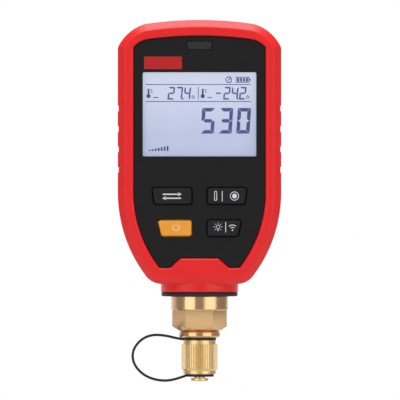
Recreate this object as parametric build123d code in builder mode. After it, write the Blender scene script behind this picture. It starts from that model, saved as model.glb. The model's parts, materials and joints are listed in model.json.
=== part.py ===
from build123d import *
from math import radians, sqrt, tan
import os

os.makedirs("parts", exist_ok=True)

# Wireless vacuum gauge, in millimetres.
# X is to the right, the front faces -Y and Z is up. The origin is the middle of the flare nose's tip.
# Depths are measured forward from the parting plane, so a depth of 17.5 lies at Y = -17.5.

# Service port and brass fitting
port_length = 11.6
thread_radius = 5.555
nose_tip_radius = 3.3
port_bore_radius = 2.4
relief_radius = 4.4
relief_length = 2.4
collar_radius = 8.35
collar_height = 2.7
collar_chamfer = 0.7
hex_flats = 19.1
hex_height = 8.3
hex_turn = -1
hex_chamfer_angle = 35
drum_step = 2.5
drum_height = 5.7
drum_chamfer = 0.5
drum_top_chamfer = 0.15
stem_side_room = 4.3
stem_gap = 0.1
stem_end_length = 4.0

# Seal, washer, nut and O-ring of the fitting
seal_radius = 15.45
seal_height = 1.8
seal_edge = 0.7
o_ring_section = 1.8
o_ring_gap = 0.05
o_ring_rise = 1.7
fitting_washer_overlap = 3.4
fitting_washer_height = 1.0
fitting_nut_wall = 2.0
fitting_nut_height = 5.0
fitting_nut_gap = 0.06

# Cap, its gasket and its tether
cap_running_gap = 0.06
cap_rim_radius = 6.55
cap_rim_height = 1.55
cap_knurl_radius = 7.25
cap_knurl_height = 10.7
cap_knurl_chamfer = 0.85
cap_foot_height = 1.35
cap_mouth_gap = 1.15
knurl_count = 46
knurl_depth = 0.35
knurl_width = 0.75
gasket_height = 1.2
gasket_radius = 5.3
gasket_gap = 0.03
post_radius = 2.2
post_neck_length = 1.7
post_head_radius = 3.5
post_head_height = 1.2
post_head_edge = 0.3
strap_width = 3.2
strap_thickness = 1.0
eye_thickness = 1.05
upper_eye_radius = 6.75
lower_eye_radius = 5.8
eye_gap = 0.25
eye_play = 0.05
tether_route = [(-6.6, 10.9), (-9.3, 11.3), (-14.0, 12.5), (-19.3, 12.8), (-23.9, 10.8), (-27.2, 6.3),
                (-26.9, 1.2), (-23.4, -3.1), (-18.6, -5.4), (-13.3, -6.0), (-8.6, -4.95), (-5.6, -3.85)]

# Housing
neck_radius = 15.6
neck_height = 3.3
body_width = 66.0
body_height = 106.6
body_depth = 35.0
wall = 2.4
crown_rise = 1.65
shoulder_width = 10.9
shoulder_height = 9.4
shoulder_bulge = 1.5
taper_height = 37.0
taper_radius = 56.0
crown_corner = 3.0
shoulder_corner = 4.0
base_corner = 8.0
bevel = 2.9
parting_groove = 0.3
rim_width = 6.35
lip = 0.6
ledge_width = 1.3
ledge_thickness = 1.6

# Side grips
grip_count = 4
grip_pitch = 8.25
grip_height = 2.6
grip_depth = 0.36
grip_slope = 0.35
grip_reach = 1.4
grip_first_rise = 46.1

# Front panel and its windows
panel_thickness = 2.0
panel_gap = 0.1
panel_corner = 1.2
panel_edge = 0.3
panel_crown_rise = 1.5
panel_shoulder_width = 5.35
panel_shoulder_bulge = 0.5
panel_base_rise = 6.45
tab_rise = 3.85
tab_top_margin = 25.35
tab_base_margin = 21.1
view_side_margin = 10.1
view_height = 33.9
view_rise = 68.5
view_corner = 0.6
view_edge = 0.25
window_margin = 1.5
window_thickness = 1.0
window_gap = 0.05
status_width = 10.3
status_base_width = 8.95
status_height = 3.1
status_rise = 96.25
status_corner = 0.5
status_groove = 0.3
status_recess = 0.15
status_flange = 1.0
status_flange_thickness = 0.8
light_pipe_radius = 1.2
light_pipe_gap = 0.3

# Keys
key_inner = 3.25
upper_key_rise = 35.5
upper_key_height = 6.3
upper_key_outer = 19.0
upper_key_base_outer = 18.15
lower_key_rise = 22.5
lower_key_height = 6.2
lower_key_outer = 16.8
lower_key_base_outer = 15.35
key_corner = 0.9
key_gap = 0.5
key_travel = 0.8
key_pressed_proud = 0.1
key_edge = 0.5
key_flange = 1.1
key_flange_thickness = 0.8
key_flange_gap = 0.1
mat_margin = 1.0
mat_thickness = 0.8
dome_inset = 0.4
dome_hollow_radius = 2.2
dome_hollow_depth = 2.4

# Display
lcd_gap = 0.3
lcd_margin = 1.2
lcd_thickness = 2.6
backlight_thickness = 2.4
backlight_margin = 0.3
connector_width = 1.6
connector_end_gap = 0.9
holder_wall = 1.1
holder_gap = 0.1

# Main board and what it carries
board_thickness = 1.6
board_side_gap = 1.5
board_base_rise = 17.9
board_shoulder_rise = 88.0
board_top_rise = 99.4
board_shoulder_width = 10.2
board_base_cut = 9.0
post_side_radius = 1.9
post_inset = 1.8
post_rises = (42.6, 78.6)
board_screw_radius = 1.0
board_screw_length = 4.5
board_screw_head_radius = 1.9
board_screw_head_height = 1.3
screw_gap = 0.05
lamp_width = 3.2
lamp_height = 1.6
buzzer_radius = 6.0
buzzer_height = 4.5
buzzer_hole_radius = 1.0
buzzer_inset = 14.2
buzzer_rise = 78.6
radio_width = 16.0
radio_height = 22.0
radio_board_thickness = 0.8
radio_can_height = 2.2
radio_can_margin = 1.0
radio_antenna_length = 6.0
radio_inset = 16.2
radio_rise = 74.6
chip_width = 10.0
chip_thickness = 1.4
chip_rise = 52.0

# Sensor in the fitting's upper end
sensor_radius = 5.5
sensor_gap = 0.05
sensor_seat_depth = 5.0
sensor_height = 8.0
sensor_pin_radius = 0.3
sensor_pin_length = 4.0
sensor_pin_pitch = 2.54
sensor_board_width = 18.0
sensor_board_height = 12.4
sensor_board_thickness = 1.2
sensor_board_gap = 0.3
header_width = 10.2
header_height = 2.5
header_rise = 21.5

# Housing screws
upper_screw_inset = 8.1
upper_screw_rise = 92.1
lower_screw_inset = 11.6
lower_screw_rise = 14.1
boss_radius = 3.2
screw_tube_radius = 4.1
screw_radius = 1.5
screw_clearance = 0.2
screw_floor = 3.5
screw_head_radius = 2.8
screw_head_height = 2.0
screw_head_gap = 0.3
screw_reach = 9.0

# Batteries, their tray and door
cell_radius = 5.25
cell_length = 44.5
cell_nub_radius = 1.9
cell_nub_height = 0.8
cell_pitch = 11.0
cell_gap = 0.3
contact_thickness = 0.5
contact_width = 8.0
contact_height = 8.0
contact_spring_length = 3.2
contact_spring_width = 4.0
contact_spring_rise = 2.0
tray_rise = 45.5
tray_wall = 1.4
tray_ledge = 1.6
tray_floor = 1.6
door_thickness = 2.0
door_gap = 0.2
door_corner = 1.5
door_edge = 0.4
door_tongue = 8.5
door_screw_radius = 1.25
door_screw_length = 8.0
door_screw_head_radius = 2.5
door_screw_head_height = 1.2
door_screw_slot_length = 4.0
door_screw_slot_width = 0.5
door_groove_count = 4
door_groove_pitch = 2.2
door_groove_width = 1.0
door_groove_depth = 0.5
door_groove_length = 16.0

# Heights worked out from the sizes above, from the flare nose up
collar_z = port_length
hex_z = collar_z + collar_height
drum_z = hex_z + hex_height
seal_z = drum_z + drum_height
neck_z = seal_z + seal_height
base_z = neck_z + neck_height
floor_z = base_z + wall
top_z = base_z + body_height
half_width = body_width / 2

# Widths worked out from the body's width
view_width = body_width - 2 * view_side_margin
tab_top_width = body_width - 2 * tab_top_margin
tab_base_width = body_width - 2 * tab_base_margin
board_half_width = half_width - wall - board_side_gap
post_side_x = board_half_width - post_inset
buzzer_x = buzzer_inset - board_half_width
radio_x = board_half_width - radio_inset
upper_screw_x = half_width - upper_screw_inset
lower_screw_x = half_width - lower_screw_inset

# Depths worked out from the sizes above, forward from the parting plane
face_depth = body_depth / 2
panel_front = face_depth - lip
panel_back = panel_front - panel_thickness
ledge_back = panel_back - ledge_thickness
stem_radius = ledge_back - stem_side_room
drum_radius = stem_radius + drum_step
fitting_washer_radius = stem_radius + fitting_washer_overlap
fitting_nut_flats = 2 * (stem_radius + fitting_nut_wall)
lcd_front = panel_back - lcd_gap
lcd_back = lcd_front - lcd_thickness
board_front = lcd_back - backlight_thickness
board_back = board_front - board_thickness
key_top = panel_front + key_travel + key_pressed_proud
flange_front = panel_back - key_flange_gap
flange_back = flange_front - key_flange_thickness
mat_front = board_front + mat_thickness
tray_back = door_thickness - face_depth
tray_depth = 2 * (cell_radius + cell_gap)
tray_front = tray_back + tray_depth
screw_head_depth = -screw_floor

view_z = base_z + view_rise
upper_key_z = base_z + upper_key_rise
lower_key_z = base_z + lower_key_rise
status_z = base_z + status_rise


def keep(piece, name):
    piece.label = name
    export_step(piece, "parts/" + name + ".step")


def outline_face(inset=0, rounded=False, rim=0, corner_width=shoulder_width, rise=crown_rise, bulge=shoulder_bulge):
    """The housing seen from the front: crown, shoulders, sides, tapering lower part and flat base.

    A rim draws it in, with shoulders of their own that still end level with the housing's.
    """
    half = half_width - rim
    top = top_z - rim
    low = base_z + rim
    crown_half = half - corner_width
    crown_z = top - rise
    side_top_z = top_z - crown_rise - shoulder_height
    side_base_z = base_z + taper_height
    corner_height = crown_z - side_top_z
    chord = sqrt(corner_width**2 + corner_height**2)
    shoulder_x = (half + crown_half) / 2 + bulge * corner_height / chord
    shoulder_z = (crown_z + side_top_z) / 2 + bulge * corner_width / chord
    radius = taper_radius - rim
    taper_x = half_width - taper_radius
    base_half = taper_x + sqrt(radius**2 - (side_base_z - low)**2)
    middle = (side_base_z + low) / 2
    middle_x = taper_x + sqrt(radius**2 - (side_base_z - middle)**2)
    with BuildSketch() as face:
        with BuildLine():
            ThreePointArc((-crown_half, crown_z), (0, top), (crown_half, crown_z))
            ThreePointArc((crown_half, crown_z), (shoulder_x, shoulder_z), (half, side_top_z))
            Line((half, side_top_z), (half, side_base_z))
            ThreePointArc((half, side_base_z), (middle_x, middle), (base_half, low))
            Line((base_half, low), (-base_half, low))
            ThreePointArc((-base_half, low), (-middle_x, middle), (-half, side_base_z))
            Line((-half, side_base_z), (-half, side_top_z))
            ThreePointArc((-half, side_top_z), (-shoulder_x, shoulder_z), (-crown_half, crown_z))
        make_face()
        if inset:
            offset(amount=-inset, kind=Kind.INTERSECTION)
        if rounded:
            fillet(vertices().group_by(Axis.Y)[0], base_corner)
            fillet(vertices().group_by(Axis.Y)[-1], crown_corner)
            fillet(vertices().filter_by(lambda v: abs(v.Y - side_top_z) < shoulder_corner / 4), shoulder_corner)
    return face.sketch


def panel_face(inset=0, corner=0):
    """The black panel seen from the front: the housing's outline drawn in, less the red tab below."""
    low = base_z + panel_base_rise + inset
    high = low + tab_rise
    with BuildSketch() as face:
        add(outline_face(inset, rim=rim_width, corner_width=panel_shoulder_width, rise=panel_crown_rise,
                         bulge=panel_shoulder_bulge))
        with BuildLine():
            Polyline((-half_width, base_z - 1), (-half_width, low), (-tab_base_width / 2 - inset, low),
                     (-tab_top_width / 2 - inset, high), (tab_top_width / 2 + inset, high),
                     (tab_base_width / 2 + inset, low), (half_width, low), (half_width, base_z - 1), close=True)
        make_face(mode=Mode.SUBTRACT)
        if corner:
            fillet(vertices().filter_by(lambda v: v.Y < high + corner), corner)
    return face.sketch


def key_points(outer, base_outer, rise, height, side):
    """A key's corners: its inner side is upright and its outer side slopes with the housing."""
    top = rise + height / 2
    bottom = rise - height / 2
    return [(side * key_inner, bottom), (side * base_outer, bottom), (side * outer, top), (side * key_inner, top)]


def cornered_face(corners, radius, grow=0):
    """A face with straight sides and rounded corners, grown on all sides by one amount."""
    with BuildSketch() as face:
        with BuildLine():
            Polyline(*corners, close=True)
        make_face()
        if grow:
            offset(amount=grow, kind=Kind.INTERSECTION)
        fillet(vertices(), radius)
    return face.sketch


def front(depth):
    """The plane at a depth forward of the parting plane; its x is X, its y is Z, and it faces forward."""
    return Plane.XZ.offset(depth)


keys = {
    "unit_key": key_points(upper_key_outer, upper_key_base_outer, upper_key_z, upper_key_height, -1),
    "record_key": key_points(upper_key_outer, upper_key_base_outer, upper_key_z, upper_key_height, 1),
    "power_key": key_points(lower_key_outer, lower_key_base_outer, lower_key_z, lower_key_height, -1),
    "lamp_key": key_points(lower_key_outer, lower_key_base_outer, lower_key_z, lower_key_height, 1),
}
status_corners = [(-status_width / 2, status_z + status_height / 2), (status_width / 2, status_z + status_height / 2),
                  (status_base_width / 2, status_z - status_height / 2),
                  (-status_base_width / 2, status_z - status_height / 2)]
screw_places = [(side * x, base_z + rise) for x, rise in ((upper_screw_x, upper_screw_rise),
                (lower_screw_x, lower_screw_rise)) for side in (-1, 1)]
board_post_places = [(side * post_side_x, base_z + rise) for rise in post_rises for side in (-1, 1)]
grip_places = [base_z + grip_first_rise + i * grip_pitch for i in range(grip_count)]

# Grips: shallow bands pressed into the sides, carried round onto both bevels
with BuildPart() as grips:
    straight = face_depth - bevel
    for grip_z in grip_places:
        with BuildLine() as grip_path:
            Polyline((half_width - grip_reach, straight + grip_reach, grip_z), (half_width, straight, grip_z),
                     (half_width, -straight, grip_z), (half_width - grip_reach, -straight - grip_reach, grip_z))
        start = Plane(origin=grip_path.line @ 0, x_dir=(0, 0, 1), z_dir=grip_path.line % 0)
        with BuildSketch(start) as grip_section:
            with BuildLine():
                Polyline((-grip_height / 2 - grip_slope, -grip_depth), (grip_height / 2 + grip_slope, -grip_depth),
                         (grip_height / 2 - grip_slope, grip_depth), (grip_slope - grip_height / 2, grip_depth),
                         close=True)
            make_face()
        sweep(path=grip_path.line, transition=Transition.RIGHT)
    mirror(about=Plane.YZ)


def housing_shell(side):
    """One half of the housing's outer form: side is 1 for the front half and -1 for the rear half."""
    with BuildPart() as shell:
        with BuildSketch(Plane.XZ):
            add(outline_face(rounded=True))
        extrude(amount=side * face_depth)
        rows = shell.edges().group_by(Axis.Y)
        chamfer(rows[0] if side > 0 else rows[-1], bevel)
        rim = shell.edges().filter_by(lambda e: abs(e.center().Y) < 0.01 and abs(e.bounding_box().max.Y) < 0.01)
        chamfer(rim, parting_groove)
        add(grips.part, mode=Mode.SUBTRACT)
        with BuildSketch(Plane.XY.offset(neck_z)):
            Circle(neck_radius)
        extrude(amount=neck_height + wall)
        split(bisect_by=Plane.XZ, keep=Keep.TOP if side > 0 else Keep.BOTTOM)
    return shell.part


with BuildPart() as stem_way:
    with BuildSketch(Plane.XY.offset(neck_z)):
        Circle(stem_radius + stem_gap)
    extrude(amount=neck_height + wall)

with BuildPart() as front_housing:
    add(housing_shell(1))
    with BuildSketch(Plane.XZ):
        add(outline_face(wall))
    extrude(amount=ledge_back, mode=Mode.SUBTRACT)
    with BuildSketch(Plane.XZ):
        add(panel_face(ledge_width))
    extrude(amount=face_depth, mode=Mode.SUBTRACT)
    with BuildSketch(front(panel_back)):
        add(panel_face(corner=panel_corner))
    extrude(amount=face_depth, mode=Mode.SUBTRACT)
    with BuildSketch(front(panel_front)):
        add(panel_face(corner=panel_corner))
    with BuildSketch(front(face_depth)):
        add(panel_face(-lip, panel_corner))
    loft(ruled=True, mode=Mode.SUBTRACT)
    add(stem_way.part, mode=Mode.SUBTRACT)
    with BuildSketch(Plane.XZ):
        with Locations(*screw_places):
            Circle(boss_radius)
    extrude(amount=panel_back)
    with BuildSketch(front(board_front)):
        with Locations(*board_post_places):
            Circle(post_side_radius)
    extrude(amount=panel_back - board_front)
    with BuildSketch(Plane.XZ):
        with Locations(*screw_places):
            Circle(screw_radius + screw_gap)
    extrude(amount=screw_reach + screw_gap, mode=Mode.SUBTRACT)
    with BuildSketch(front(board_front)):
        with Locations(*board_post_places):
            Circle(board_screw_radius + screw_gap)
    extrude(amount=board_screw_length - board_thickness + screw_gap, mode=Mode.SUBTRACT)
keep(front_housing.part, "front_housing")

# Battery tray: an open box behind the door, with a ledge all round that the door lies on
tray_half = cell_pitch + cell_radius + cell_gap
tray_height = cell_length + contact_spring_length + 2 * contact_thickness + cell_gap
tray_z = base_z + tray_rise
door_half = tray_half + tray_ledge
door_low_z = tray_z - door_tongue
door_high_z = tray_z + tray_height + tray_ledge
door_screw_z = tray_z - door_tongue / 2
door_middle_z = (door_low_z + door_high_z) / 2
door_height = door_high_z - door_low_z


def draw_box(low_z, high_z, half, grow=0):
    with Locations((0, (low_z + high_z) / 2)):
        Rectangle(2 * (half + grow), high_z - low_z + 2 * grow)


with BuildPart() as rear_housing:
    add(housing_shell(-1))
    with BuildSketch(Plane.XZ):
        add(outline_face(wall))
    extrude(amount=wall - face_depth, mode=Mode.SUBTRACT)
    add(stem_way.part, mode=Mode.SUBTRACT)
    with BuildSketch(Plane.XZ):
        with Locations(*screw_places):
            Circle(screw_tube_radius)
    extrude(amount=wall - face_depth)
    with BuildSketch(front(tray_front + tray_floor)):
        draw_box(door_low_z, door_high_z, door_half, door_gap + tray_wall)
    extrude(amount=wall - face_depth - tray_front - tray_floor)
    with BuildSketch(front(-face_depth)):
        draw_box(door_low_z, door_high_z, door_half, door_gap)
        fillet(vertices(), door_corner + door_gap)
    extrude(amount=door_thickness, mode=Mode.SUBTRACT)
    with BuildSketch(front(tray_back)):
        draw_box(tray_z, tray_z + tray_height, tray_half)
    extrude(amount=tray_depth, mode=Mode.SUBTRACT)
    with BuildSketch(front(tray_back)):
        with Locations((0, door_screw_z)):
            Circle(door_screw_radius + screw_gap)
    extrude(amount=door_screw_length - door_thickness + door_screw_head_height + screw_gap, mode=Mode.SUBTRACT)
    with BuildSketch(Plane.XZ):
        with Locations(*screw_places):
            Circle(screw_radius + screw_clearance)
    extrude(amount=-face_depth, mode=Mode.SUBTRACT)
    with BuildSketch(front(screw_head_depth)):
        with Locations(*screw_places):
            Circle(screw_head_radius + screw_head_gap)
    extrude(amount=-face_depth, mode=Mode.SUBTRACT)
keep(rear_housing.part, "rear_housing")

with BuildPart() as housing_screws:
    with BuildSketch(front(screw_head_depth - screw_head_height)):
        with Locations(*screw_places):
            Circle(screw_head_radius)
    extrude(amount=screw_head_height)
    with BuildSketch(front(screw_head_depth)):
        with Locations(*screw_places):
            Circle(screw_radius)
    extrude(amount=screw_floor + screw_reach)
    with BuildSketch(front(screw_head_depth - screw_head_height)):
        with Locations(*screw_places):
            RegularPolygon(screw_radius, 6)
    extrude(amount=screw_head_height / 2, mode=Mode.SUBTRACT)
keep(housing_screws.part, "housing_screws")

with BuildPart() as battery_door:
    with BuildSketch(front(-face_depth)):
        draw_box(door_low_z, door_high_z, door_half)
        fillet(vertices(), door_corner)
    extrude(amount=door_thickness)
    chamfer(battery_door.edges().group_by(Axis.Y)[-1], door_edge)
    with BuildSketch(front(-face_depth)):
        with Locations((0, door_screw_z)):
            Circle(door_screw_head_radius + screw_gap)
    extrude(amount=door_screw_head_height, mode=Mode.SUBTRACT)
    with BuildSketch(front(-face_depth)):
        with Locations((0, door_screw_z)):
            Circle(door_screw_radius + screw_gap)
    extrude(amount=door_thickness, mode=Mode.SUBTRACT)
    with BuildSketch(front(-face_depth)):
        with Locations((0, door_high_z - door_groove_count * door_groove_pitch - tray_wall)):
            with GridLocations(0, door_groove_pitch, 1, door_groove_count):
                SlotOverall(door_groove_length, door_groove_width)
    extrude(amount=door_groove_depth, mode=Mode.SUBTRACT)
keep(battery_door.part, "battery_door")

with BuildPart() as battery_door_screw:
    with BuildSketch(front(-face_depth)):
        with Locations((0, door_screw_z)):
            Circle(door_screw_head_radius)
    extrude(amount=door_screw_head_height)
    with BuildSketch(front(-face_depth)):
        with Locations((0, door_screw_z)):
            Circle(door_screw_radius)
    extrude(amount=door_screw_length)
    with BuildSketch(front(-face_depth)):
        with Locations((0, door_screw_z)):
            Rectangle(door_screw_slot_length, door_screw_slot_width)
            Rectangle(door_screw_slot_width, door_screw_slot_length)
    extrude(amount=door_screw_head_height / 2, mode=Mode.SUBTRACT)
keep(battery_door_screw.part, "battery_door_screw")

# Cells lie side by side, each turned the other way round from its neighbour
cell_depth = (tray_back + tray_front) / 2
lower_contact_z = tray_z
upper_contact_z = tray_z + tray_height
cell_places = {"battery_left": (-cell_pitch, 1), "battery_middle": (0, -1), "battery_right": (cell_pitch, 1)}
for cell_name, (cell_x, way) in cell_places.items():
    nub_z = upper_contact_z - contact_thickness if way > 0 else lower_contact_z + contact_thickness
    with BuildPart() as cell:
        with BuildSketch(Plane(origin=(cell_x, -cell_depth, nub_z), z_dir=(0, 0, -way))):
            Circle(cell_nub_radius)
        extrude(amount=cell_nub_height)
        with BuildSketch(Plane(origin=(cell_x, -cell_depth, nub_z - way * cell_nub_height), z_dir=(0, 0, -way))):
            Circle(cell_radius)
        extrude(amount=cell_length - cell_nub_height)
        can_edges = cell.edges().filter_by(GeomType.CIRCLE).filter_by(lambda e: e.radius > cell_nub_radius + cell_gap)
        fillet(can_edges, cell_gap)
    keep(cell.part, cell_name)


def contact_row(at_top):
    """Three sheet contacts at one end of the tray: flat ones on the nubs, bent springs on the can ends."""
    way = -1 if at_top else 1
    wall_z = upper_contact_z if at_top else lower_contact_z
    with BuildPart() as row:
        for cell_x, cell_way in cell_places.values():
            with BuildSketch(Plane.XY.offset(wall_z)):
                with Locations((cell_x, -cell_depth)):
                    Rectangle(contact_width, contact_height)
            extrude(amount=way * contact_thickness)
            if (cell_way > 0) != at_top:
                foot = wall_z + way * contact_thickness
                reach = wall_z + way * (tray_height - cell_length - contact_thickness)
                near = -cell_depth - contact_height / 2
                far = -cell_depth + contact_spring_rise
                sheet = contact_thickness / 2
                with BuildSketch(Plane.YZ.offset(cell_x - contact_spring_width / 2)):
                    with BuildLine():
                        Polyline((near, foot), (near + 2 * sheet, foot), (far - sheet, reach - way * 2 * sheet),
                                 (far + 2 * sheet, reach - way * 2 * sheet), (far + 2 * sheet, reach),
                                 (far - 2 * sheet, reach), close=True)
                    make_face()
                extrude(amount=contact_spring_width)
    return row.part


keep(contact_row(True), "battery_contacts_upper")
keep(contact_row(False), "battery_contacts_lower")

with BuildPart() as front_panel:
    with BuildSketch(front(panel_back)):
        add(panel_face(panel_gap, panel_corner))
    extrude(amount=panel_thickness - panel_edge)
    with BuildSketch(front(panel_front - panel_edge)):
        add(panel_face(panel_gap, panel_corner))
    with BuildSketch(front(panel_front)):
        add(panel_face(panel_gap + panel_edge, panel_corner))
    loft(ruled=True)
    with BuildSketch(front(panel_back)):
        with Locations((0, view_z)):
            RectangleRounded(view_width, view_height, view_corner)
    extrude(amount=panel_thickness, mode=Mode.SUBTRACT)
    view_edges = front_panel.faces().sort_by(Axis.Y)[0].inner_wires()[0].edges()
    chamfer(view_edges, view_edge)
    with BuildSketch(front(panel_back)):
        with Locations((0, view_z)):
            Rectangle(view_width + 2 * (window_margin + window_gap), view_height + 2 * (window_margin + window_gap))
    extrude(amount=window_thickness, mode=Mode.SUBTRACT)
    for corners in keys.values():
        with BuildSketch(front(panel_back)):
            add(cornered_face(corners, key_corner + key_gap, key_gap))
        extrude(amount=panel_thickness, mode=Mode.SUBTRACT)
    with BuildSketch(front(panel_back)):
        add(cornered_face(status_corners, status_corner, status_groove))
    extrude(amount=panel_thickness, mode=Mode.SUBTRACT)
keep(front_panel.part, "front_panel")

with BuildPart() as display_window:
    with BuildSketch(front(panel_back)):
        with Locations((0, view_z)):
            Rectangle(view_width + 2 * window_margin, view_height + 2 * window_margin)
    extrude(amount=window_thickness)
keep(display_window.part, "display_window")

with BuildPart() as status_window:
    with BuildSketch(front(panel_back - status_flange_thickness)):
        add(cornered_face(status_corners, status_corner, status_flange))
    extrude(amount=status_flange_thickness)
    with BuildSketch(front(panel_back)):
        add(cornered_face(status_corners, status_corner))
    extrude(amount=panel_thickness - status_recess)
    with BuildSketch(front(board_front + lamp_height + light_pipe_gap)):
        with Locations((0, status_z)):
            Circle(light_pipe_radius)
    extrude(amount=panel_back - status_flange_thickness - board_front - lamp_height - light_pipe_gap)
keep(status_window.part, "status_window")

# Keys: a crowned top through the panel, and a flange behind it that rests on the mat's dome
for key_name, corners in keys.items():
    with BuildPart() as key:
        with BuildSketch(front(flange_back)):
            add(cornered_face(corners, key_corner, key_flange))
        extrude(amount=key_flange_thickness)
        with BuildSketch(front(flange_front)):
            add(cornered_face(corners, key_corner))
        extrude(amount=key_top - flange_front)
        fillet(key.edges().group_by(Axis.Y)[0], key_edge)
    keep(key.part, key_name)

mat_reach = upper_key_outer + key_flange + mat_margin
mat_low_z = lower_key_z - lower_key_height / 2 - mat_margin
mat_high_z = upper_key_z + upper_key_height / 2 + mat_margin
with BuildPart() as key_mat:
    with BuildSketch(front(board_front)):
        draw_box(mat_low_z, mat_high_z, mat_reach)
    extrude(amount=mat_thickness)
    for corners in keys.values():
        with BuildSketch(front(mat_front)):
            add(cornered_face(corners, key_corner, -dome_inset))
        extrude(amount=flange_back - mat_front)
        dome_x = sum(x for x, z in corners) / 4
        dome_z = sum(z for x, z in corners) / 4
        with BuildSketch(front(board_front)):
            with Locations((dome_x, dome_z)):
                Circle(dome_hollow_radius)
        extrude(amount=dome_hollow_depth, mode=Mode.SUBTRACT)
keep(key_mat.part, "key_mat")

lcd_half = view_width / 2 + lcd_margin
lcd_half_height = view_height / 2 + lcd_margin
with BuildPart() as lcd_panel:
    with BuildSketch(front(lcd_back)):
        with Locations((0, view_z)):
            Rectangle(2 * lcd_half, 2 * lcd_half_height)
    extrude(amount=lcd_thickness)
keep(lcd_panel.part, "lcd_panel")

with BuildPart() as display_connectors:
    strip_z = lcd_half_height - connector_width / 2
    with BuildSketch(front(board_front)):
        with Locations((0, view_z - strip_z), (0, view_z + strip_z)):
            Rectangle(view_width - 2 * connector_end_gap, connector_width)
    extrude(amount=backlight_thickness)
keep(display_connectors.part, "display_connectors")

with BuildPart() as display_backlight:
    guide_height = 2 * (lcd_half_height - connector_width - backlight_margin)
    with BuildSketch(front(board_front)):
        with Locations((0, view_z)):
            Rectangle(2 * (lcd_half - backlight_margin), guide_height)
    extrude(amount=backlight_thickness)
keep(display_backlight.part, "display_backlight")

with BuildPart() as display_holder:
    inner_grow = holder_gap
    outer_grow = holder_gap + holder_wall
    with BuildSketch(front(board_front)):
        with Locations((0, view_z)):
            Rectangle(2 * (lcd_half + outer_grow), 2 * (lcd_half_height + outer_grow))
            Rectangle(2 * (lcd_half + inner_grow), 2 * (lcd_half_height + inner_grow), mode=Mode.SUBTRACT)
    extrude(amount=lcd_front - board_front)
keep(display_holder.part, "display_holder")

with BuildPart() as main_board:
    low = base_z + board_base_rise
    shoulder = base_z + board_shoulder_rise
    high = base_z + board_top_rise
    wide = board_half_width
    narrow = wide - board_shoulder_width
    with BuildSketch(front(board_back)):
        with BuildLine():
            Polyline((board_base_cut - wide, low), (wide - board_base_cut, low), (wide, low + board_base_cut),
                     (wide, shoulder), (narrow, shoulder), (narrow, high), (-narrow, high), (-narrow, shoulder),
                     (-wide, shoulder), (-wide, low + board_base_cut), close=True)
        make_face()
        with Locations(*board_post_places):
            Circle(board_screw_radius + screw_clearance, mode=Mode.SUBTRACT)
    extrude(amount=board_thickness)
keep(main_board.part, "main_board")

with BuildPart() as board_screws:
    with BuildSketch(front(board_back - board_screw_head_height)):
        with Locations(*board_post_places):
            Circle(board_screw_head_radius)
    extrude(amount=board_screw_head_height)
    with BuildSketch(front(board_back)):
        with Locations(*board_post_places):
            Circle(board_screw_radius)
    extrude(amount=board_screw_length)
keep(board_screws.part, "board_screws")

with BuildPart() as status_lamp:
    with BuildSketch(front(board_front)):
        with Locations((0, status_z)):
            Rectangle(lamp_width, lamp_height)
    extrude(amount=lamp_height)
keep(status_lamp.part, "status_lamp")

with BuildPart() as buzzer:
    with BuildSketch(front(board_back - buzzer_height)):
        with Locations((buzzer_x, base_z + buzzer_rise)):
            Circle(buzzer_radius)
    extrude(amount=buzzer_height)
    with BuildSketch(front(board_back - buzzer_height)):
        with Locations((buzzer_x, base_z + buzzer_rise)):
            Circle(buzzer_hole_radius)
    extrude(amount=buzzer_height / 2, mode=Mode.SUBTRACT)
keep(buzzer.part, "buzzer")

with BuildPart() as radio_module:
    with BuildSketch(front(board_back - radio_board_thickness)):
        with Locations((radio_x, base_z + radio_rise)):
            Rectangle(radio_width, radio_height)
    extrude(amount=radio_board_thickness)
    with BuildSketch(front(board_back - radio_board_thickness - radio_can_height)):
        with Locations((radio_x, base_z + radio_rise - radio_antenna_length / 2)):
            Rectangle(radio_width - 2 * radio_can_margin, radio_height - 2 * radio_can_margin - radio_antenna_length)
    extrude(amount=radio_can_height)
keep(radio_module.part, "radio_module")

with BuildPart() as main_chip:
    with BuildSketch(front(board_back - chip_thickness)):
        with Locations((0, base_z + chip_rise)):
            Rectangle(chip_width, chip_width)
    extrude(amount=chip_thickness)
keep(main_chip.part, "main_chip")

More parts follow.
